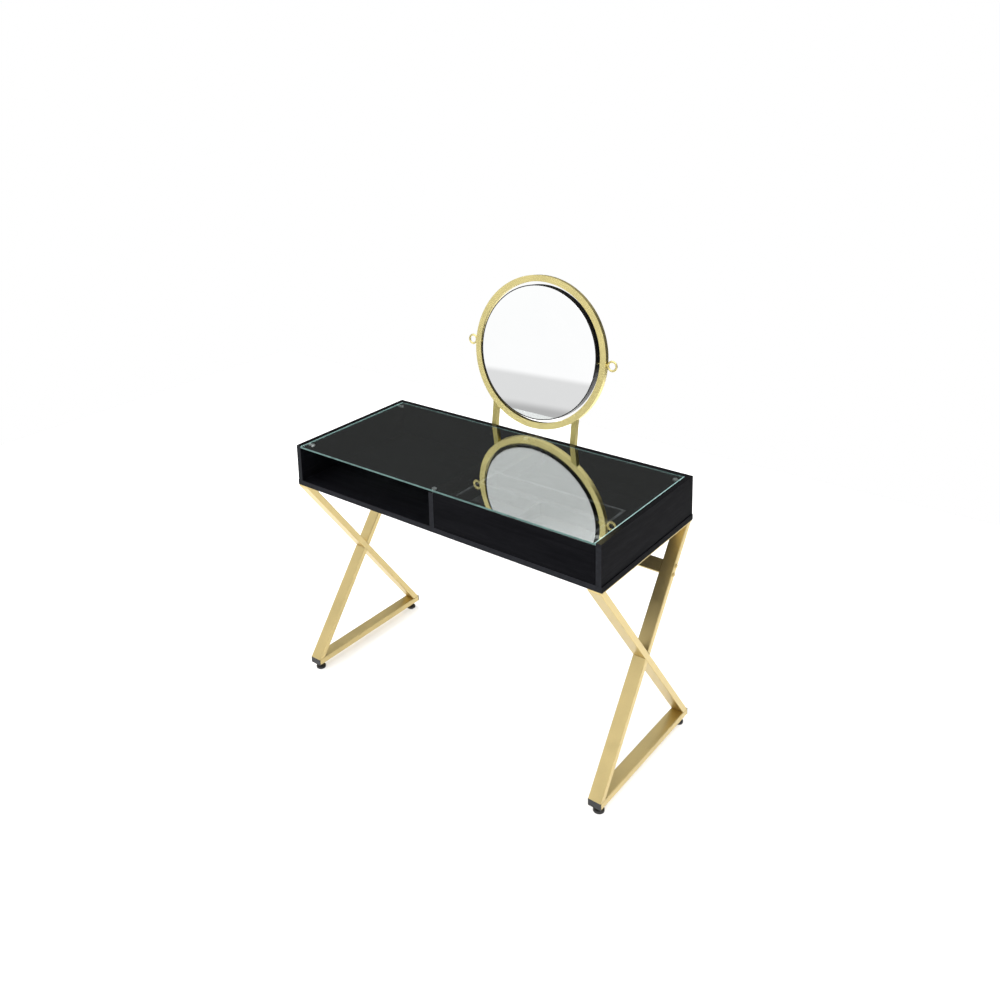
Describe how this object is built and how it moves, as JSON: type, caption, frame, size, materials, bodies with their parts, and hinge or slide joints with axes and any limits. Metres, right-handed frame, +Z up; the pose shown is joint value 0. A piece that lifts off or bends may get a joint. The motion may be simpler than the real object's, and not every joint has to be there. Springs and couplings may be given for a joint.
{
  "type": "vanity table with mirror",
  "caption": "Black wood-grain vanity table with a clear glass top, crossed gold tube legs, an open bay, a drawer with a jewellery tray, and a round mirror that tilts in a gold ring.",
  "frame": {"origin": "on the floor, in the middle of the whole object's footprint", "axes": "+Z up; +X to the right of someone sitting at the open front, so the drawer is on the +X side; +Y from the sitter to the back, where the mirror stands"},
  "size_m": [1.0668, 0.5716, 1.2446],
  "materials": {
    "black_board": "black wood-grain laminate, satin",
    "gold_metal": "satin gold finish on steel",
    "black_plastic": "moulded, matte",
    "clear_glass": "clear, polished edges",
    "silvered_glass": "silvered glass",
    "black_lacquer": "smooth black lacquer",
    "bright_steel": "bright, fine grain",
    "tray_felt": "short black felt"
  },
  "bodies": {
    "table": {"bottom_panel": "black_board", "left_side_panel": "black_board", "right_side_panel": "black_board", "centre_divider": "black_board", "back_panel": "black_board", "glass_top": "clear_glass", "left_front_glass_support": "bright_steel", "left_rear_glass_support": "bright_steel", "right_front_glass_support": "bright_steel", "right_rear_glass_support": "bright_steel", "middle_front_glass_support": "bright_steel", "middle_rear_glass_support": "bright_steel", "left_leg_top_rail": "gold_metal", "left_leg_long_diagonal": "gold_metal", "left_leg_upper_brace": "gold_metal", "left_leg_lower_brace": "gold_metal", "left_leg_bottom_rail": "gold_metal", "right_leg_top_rail": "gold_metal", "right_leg_long_diagonal": "gold_metal", "right_leg_upper_brace": "gold_metal", "right_leg_lower_brace": "gold_metal", "right_leg_bottom_rail": "gold_metal", "left_front_end_cap": "black_plastic", "left_rear_end_cap": "black_plastic", "right_front_end_cap": "black_plastic", "right_rear_end_cap": "black_plastic", "left_front_rail_screw": "gold_metal", "left_rear_rail_screw": "gold_metal", "right_front_rail_screw": "gold_metal", "right_rear_rail_screw": "gold_metal", "rear_crossbar": "gold_metal", "left_upper_crossbar_bolt": "gold_metal", "left_lower_crossbar_bolt": "gold_metal", "right_upper_crossbar_bolt": "gold_metal", "right_lower_crossbar_bolt": "gold_metal", "mirror_ring": "gold_metal", "left_mirror_post": "gold_metal", "right_mirror_post": "gold_metal", "left_lower_post_screw": "black_lacquer", "left_upper_post_screw": "black_lacquer", "right_lower_post_screw": "black_lacquer", "right_upper_post_screw": "black_lacquer", "left_drawer_runner": "black_board", "right_drawer_runner": "black_board"},
    "drawer": {"drawer_front": "black_board", "drawer_left_wall": "black_board", "drawer_right_wall": "black_board", "drawer_back_wall": "black_board", "tray_floor": "tray_felt", "tray_cross_divider": "black_board", "tray_long_divider": "black_board"},
    "mirror": {"mirror_backing": "black_lacquer", "mirror_glass": "silvered_glass"},
    "left_eye": {"left_eye_screw": "gold_metal"},
    "right_eye": {"right_eye_screw": "gold_metal"},
    "left_front_foot": {"left_front_levelling_foot": "black_plastic"},
    "left_rear_foot": {"left_rear_levelling_foot": "black_plastic"},
    "right_front_foot": {"right_front_levelling_foot": "black_plastic"},
    "right_rear_foot": {"right_rear_levelling_foot": "black_plastic"}
  },
  "joints": [
    {"name": "drawer_slide", "type": "slide", "parent": "table", "child": "drawer", "axis": [0, -1, 0], "range_m": [0, 0.17]},
    {"name": "mirror_tilt", "type": "hinge", "parent": "table", "child": "mirror", "pos_m": [0, 0.24308, 1.01105], "axis": [1, 0, 0], "continuous": true},
    {"name": "left_eye_turn", "type": "hinge", "parent": "table", "child": "left_eye", "pos_m": [-0.2526, 0.24308, 1.01105], "axis": [1, 0, 0], "continuous": true},
    {"name": "right_eye_turn", "type": "hinge", "parent": "table", "child": "right_eye", "pos_m": [0.2526, 0.24308, 1.01105], "axis": [1, 0, 0], "continuous": true},
    {"name": "left_front_foot_turn", "type": "hinge", "parent": "table", "child": "left_front_foot", "pos_m": [-0.51175, -0.26338, 0.01], "axis": [0, 0, 1], "continuous": true},
    {"name": "left_rear_foot_turn", "type": "hinge", "parent": "table", "child": "left_rear_foot", "pos_m": [-0.51175, 0.17522, 0.01], "axis": [0, 0, 1], "continuous": true},
    {"name": "right_front_foot_turn", "type": "hinge", "parent": "table", "child": "right_front_foot", "pos_m": [0.51175, -0.26338, 0.01], "axis": [0, 0, 1], "continuous": true},
    {"name": "right_rear_foot_turn", "type": "hinge", "parent": "table", "child": "right_rear_foot", "pos_m": [0.51175, 0.17522, 0.01], "axis": [0, 0, 1], "continuous": true}
  ]
}
